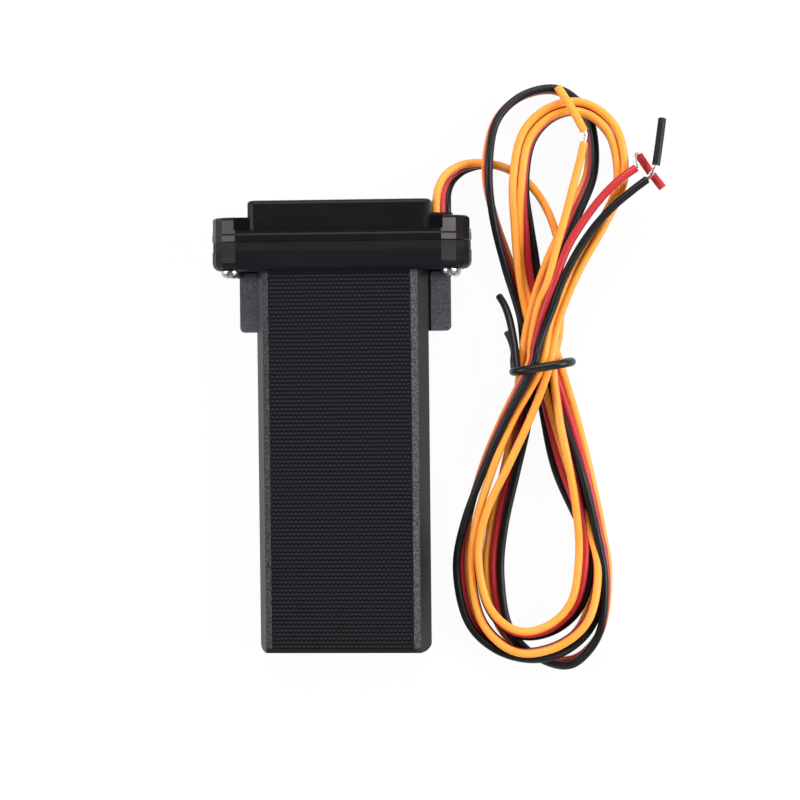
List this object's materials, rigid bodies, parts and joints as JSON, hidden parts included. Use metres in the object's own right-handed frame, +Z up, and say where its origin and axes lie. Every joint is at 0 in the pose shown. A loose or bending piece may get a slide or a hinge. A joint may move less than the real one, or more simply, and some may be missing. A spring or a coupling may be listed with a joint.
{
  "type": "gps tracker",
  "caption": "Sealed tracker box with a screwed cover, a flange, thin wings flush with its back, and a flat cable coiled into a tied hank.",
  "frame": {"origin": "middle of the box across and along, on the plane of its back face, the cable left out", "axes": "+X across towards the cable, +Y along the box towards the cover, +Z up from the back face through the thickness"},
  "size_m": [0.0907, 0.1185, 0.015],
  "materials": {
    "case_plastic": "fine texture",
    "cover_plastic": "fine texture",
    "seal_rubber": "matt",
    "gland_rubber": "matt",
    "screw_steel": "nickel plated",
    "board_green": "lacquered",
    "foam": "matt",
    "ceramic": "plain",
    "silver": "matt",
    "tinned_steel": "satin",
    "gold_metal": "satin",
    "chip_black": "matt",
    "tantalum": "satin",
    "led_white": "clear",
    "cream_plastic": "satin",
    "card_white": "satin",
    "pouch": "satin",
    "wire_red": "satin",
    "wire_orange": "satin",
    "wire_black": "satin",
    "copper_strands": "tinned",
    "tie_black": "satin"
  },
  "bodies": {
    "tracker": {"cover": "cover_plastic", "seal": "seal_rubber", "gland": "gland_rubber", "board": "board_green", "board_screws": "screw_steel", "patch_pad": "foam", "patch_antenna": "ceramic", "patch_electrode": "silver", "gps_can": "tinned_steel", "gsm_can": "tinned_steel", "gsm_antenna": "gold_metal", "processor": "chip_black", "chips": "chip_black", "inductor": "chip_black", "capacitors": "tantalum", "leds": "led_white", "switch_body": "tinned_steel", "card_holder": "tinned_steel", "battery": "pouch", "battery_pad": "foam", "battery_wires": "wire_red", "cable_socket": "cream_plastic", "cable_plug": "cream_plastic", "hank_tie": "tie_black", "tie_ends": "tie_black", "inner_orange": "wire_orange", "lead_orange": "wire_orange", "hank_orange": "wire_orange", "tail_orange": "wire_orange", "slug_orange": "wire_orange", "strands_orange": "copper_strands", "inner_red": "wire_red", "lead_red": "wire_red", "hank_red": "wire_red", "tail_red": "wire_red", "slug_red": "wire_red", "strands_red": "copper_strands", "inner_black": "wire_black", "lead_black": "wire_black", "hank_black": "wire_black", "tail_black": "wire_black", "slug_black": "wire_black", "strands_black": "copper_strands"},
    "case": {"case_shell": "case_plastic", "case_screws": "screw_steel"},
    "card": {"card": "card_white"},
    "knob": {"switch_knob": "cream_plastic"}
  },
  "joints": [
    {"name": "case_slide", "type": "slide", "parent": "tracker", "child": "case", "axis": [0, -1, 0], "range_m": [0, 0.038]},
    {"name": "card_slide", "type": "slide", "parent": "tracker", "child": "card", "axis": [0, -1, 0], "range_m": [0, 0.012]},
    {"name": "knob_slide", "type": "slide", "parent": "tracker", "child": "knob", "axis": [1, 0, 0], "range_m": [0, 0.002]}
  ]
}
